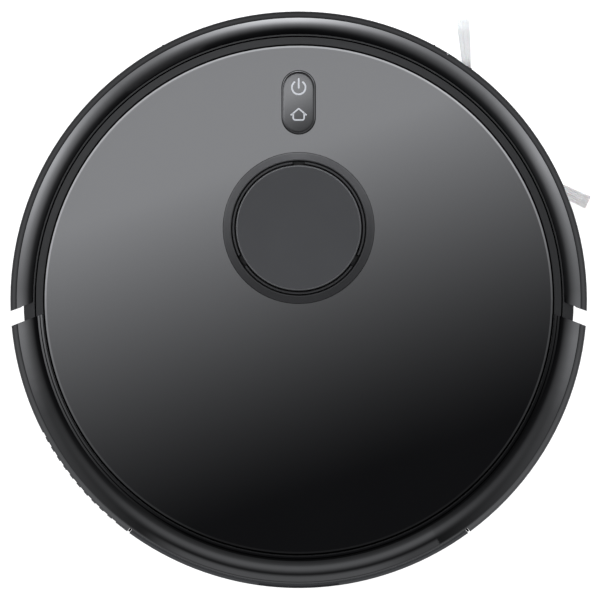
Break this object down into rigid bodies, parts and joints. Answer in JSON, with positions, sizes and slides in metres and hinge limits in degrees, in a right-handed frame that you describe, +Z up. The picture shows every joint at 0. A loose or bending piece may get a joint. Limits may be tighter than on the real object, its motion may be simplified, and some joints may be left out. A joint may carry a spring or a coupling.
{
  "type": "robot vacuum",
  "caption": "Round floor-cleaning robot with laser turret, push-in bumper, roller and side brushes, sprung drive wheels, caster and a slide-out dustbin.",
  "frame": {"origin": "on the floor under the centre of the round body", "axes": "+Y is the direction of travel, towards the bumper; +Z is up; +X is the robot's right"},
  "size_m": [0.3523, 0.35, 0.095],
  "materials": {
    "shell_black": "gloss",
    "housing_black": "satin",
    "plate_gloss": "gloss",
    "button_gloss": "gloss",
    "icon_grey": "matte",
    "turret_grey": "matte",
    "collar_grey": "satin",
    "inner_black": "matte",
    "window_dark": "gloss",
    "steel": "satin",
    "contact_metal": "polished",
    "pulley_white": "satin",
    "belt_rubber": "matte",
    "brush_rubber": "matte",
    "bristle_white": "satin",
    "roller_plastic": "satin",
    "roller_bristle": "matte",
    "rim_plastic": "satin",
    "tyre_rubber": "matte",
    "battery_wrap": "satin",
    "cell_metal": "satin",
    "board_green": "satin",
    "impeller_grey": "satin",
    "bin_grey": "satin",
    "lid_smoke": "gloss",
    "filter_paper": "matte",
    "latch_grey": "satin"
  },
  "bodies": {
    "root": {"chassis": "housing_black", "top_housing": "housing_black", "top_plate": "plate_gloss", "rear_cover": "shell_black", "bumper_springs": "steel", "lidar_collar": "collar_grey", "lidar_base": "collar_grey", "lidar_motor": "steel", "lidar_belt": "belt_rubber", "bearings": "steel", "button_board": "board_green", "side_brush_gearbox": "pulley_white", "side_brush_motor": "steel", "brush_chamber": "inner_black", "brush_belt": "belt_rubber", "brush_motor": "steel", "brush_drive_cover": "inner_black", "wheel_pivot_pins": "steel", "suspension_springs": "steel", "battery_pack": "battery_wrap", "battery_cells": "cell_metal", "battery_door": "housing_black", "charge_contacts": "contact_metal", "cliff_sensors": "window_dark", "underside_screws": "steel", "fan_housing": "inner_black", "main_board": "board_green", "speaker": "inner_black"},
    "bumper": {"bumper": "shell_black", "bumper_window": "window_dark"},
    "lidar_cap": {"lidar_cap": "turret_grey"},
    "lidar_rotor": {"lidar_rotor": "inner_black", "lidar_lenses": "window_dark"},
    "lidar_pulley": {"lidar_pulley": "pulley_white"},
    "button": {"button_cap": "button_gloss", "button_icons": "icon_grey"},
    "side_brush": {"side_brush_arms": "brush_rubber", "side_brush_bristles": "bristle_white", "side_brush_shaft": "steel"},
    "main_brush": {"brush_core": "roller_plastic", "brush_strips": "roller_bristle", "brush_pulley": "pulley_white"},
    "brush_motor_pulley": {"brush_motor_pulley": "pulley_white"},
    "brush_cover": {"brush_cover": "housing_black"},
    "wheel_arm_left": {"wheel_arm_left": "inner_black", "wheel_drive_left": "steel"},
    "wheel_arm_right": {"wheel_arm_right": "inner_black", "wheel_drive_right": "steel"},
    "wheel_left": {"wheel_rim_left": "rim_plastic", "wheel_tyre_left": "tyre_rubber"},
    "wheel_right": {"wheel_rim_right": "rim_plastic", "wheel_tyre_right": "tyre_rubber"},
    "caster": {"caster_yoke": "inner_black", "caster_axle": "steel"},
    "caster_wheel": {"caster_wheel": "tyre_rubber"},
    "fan_impeller": {"fan_impeller": "impeller_grey"},
    "dustbin": {"dustbin_body": "bin_grey", "dustbin_lid": "lid_smoke", "dust_filter": "filter_paper"},
    "bin_latch": {"bin_latch": "latch_grey"}
  },
  "joints": [
    {"name": "bumper_push", "type": "slide", "parent": "root", "child": "bumper", "axis": [0, -1, 0], "range_m": [0, 0.005], "stiffness_N_per_m": 500, "springref_m": -0.003, "deforming": ["bumper_springs"]},
    {"name": "lidar_cap_press", "type": "slide", "parent": "root", "child": "lidar_cap", "axis": [0, 0, -1], "range_m": [0, 0.0015], "stiffness_N_per_m": 1500, "springref_m": -0.0005},
    {"name": "lidar_rotor_spin", "type": "hinge", "parent": "root", "child": "lidar_rotor", "pos_m": [0, 0.0434, 0.07], "axis": [0, 0, 1], "continuous": true},
    {"name": "lidar_pulley_spin", "type": "hinge", "parent": "root", "child": "lidar_pulley", "pos_m": [-0.056, 0.0434, 0.063], "axis": [0, 0, 1], "continuous": true},
    {"name": "button_rock", "type": "hinge", "parent": "root", "child": "button", "pos_m": [0, 0.1194, 0.072], "axis": [1, 0, 0], "range_deg": [-1.5, 1.5], "stiffness_Nm_per_rad": 1.2},
    {"name": "side_brush_spin", "type": "hinge", "parent": "root", "child": "side_brush", "pos_m": [0.1059, 0.0932, 0.006], "axis": [0, 0, 1], "continuous": true},
    {"name": "main_brush_spin", "type": "hinge", "parent": "root", "child": "main_brush", "pos_m": [0, -0.004, 0.024], "axis": [1, 0, 0], "continuous": true},
    {"name": "brush_motor_pulley_spin", "type": "hinge", "parent": "root", "child": "brush_motor_pulley", "pos_m": [-0.088, -0.042, 0.06], "axis": [1, 0, 0], "continuous": true},
    {"name": "brush_cover_hinge", "type": "hinge", "parent": "root", "child": "brush_cover", "pos_m": [0, -0.0312, 0.0098], "axis": [-1, 0, 0], "range_deg": [0, 60]},
    {"name": "wheel_arm_left_drop", "type": "hinge", "parent": "root", "child": "wheel_arm_left", "pos_m": [-0.101, 0.04, 0.034], "axis": [1, 0, 0], "range_deg": [0, 12], "stiffness_Nm_per_rad": 0.2, "springref_deg": 57.3, "deforming": ["suspension_springs"]},
    {"name": "wheel_arm_right_drop", "type": "hinge", "parent": "root", "child": "wheel_arm_right", "pos_m": [0.101, 0.04, 0.034], "axis": [1, 0, 0], "range_deg": [0, 12], "stiffness_Nm_per_rad": 0.2, "springref_deg": 57.3, "deforming": ["suspension_springs"]},
    {"name": "wheel_left_spin", "type": "hinge", "parent": "wheel_arm_left", "child": "wheel_left", "pos_m": [-0.12, -0.012, 0.034], "axis": [1, 0, 0], "continuous": true},
    {"name": "wheel_right_spin", "type": "hinge", "parent": "wheel_arm_right", "child": "wheel_right", "pos_m": [0.12, -0.012, 0.034], "axis": [1, 0, 0], "continuous": true},
    {"name": "caster_swivel", "type": "hinge", "parent": "root", "child": "caster", "pos_m": [0, 0.122, 0.03], "axis": [0, 0, 1], "continuous": true},
    {"name": "caster_wheel_spin", "type": "hinge", "parent": "caster", "child": "caster_wheel", "pos_m": [0, 0.115, 0.0155], "axis": [1, 0, 0], "continuous": true},
    {"name": "fan_spin", "type": "hinge", "parent": "root", "child": "fan_impeller", "pos_m": [-0.096, -0.092, 0.03], "axis": [0, 0, 1], "continuous": true},
    {"name": "dustbin_pull", "type": "slide", "parent": "root", "child": "dustbin", "axis": [0, -1, 0], "range_m": [0, 0.13]},
    {"name": "bin_latch_press", "type": "slide", "parent": "dustbin", "child": "bin_latch", "axis": [0, 1, 0], "range_m": [0, 0.0025], "stiffness_N_per_m": 800, "springref_m": -0.0005}
  ],
  "couplings": [
    {"joint": "lidar_pulley_spin", "follows": "lidar_rotor_spin", "ratio": 6.6},
    {"joint": "brush_motor_pulley_spin", "follows": "main_brush_spin", "ratio": 2.1111}
  ]
}
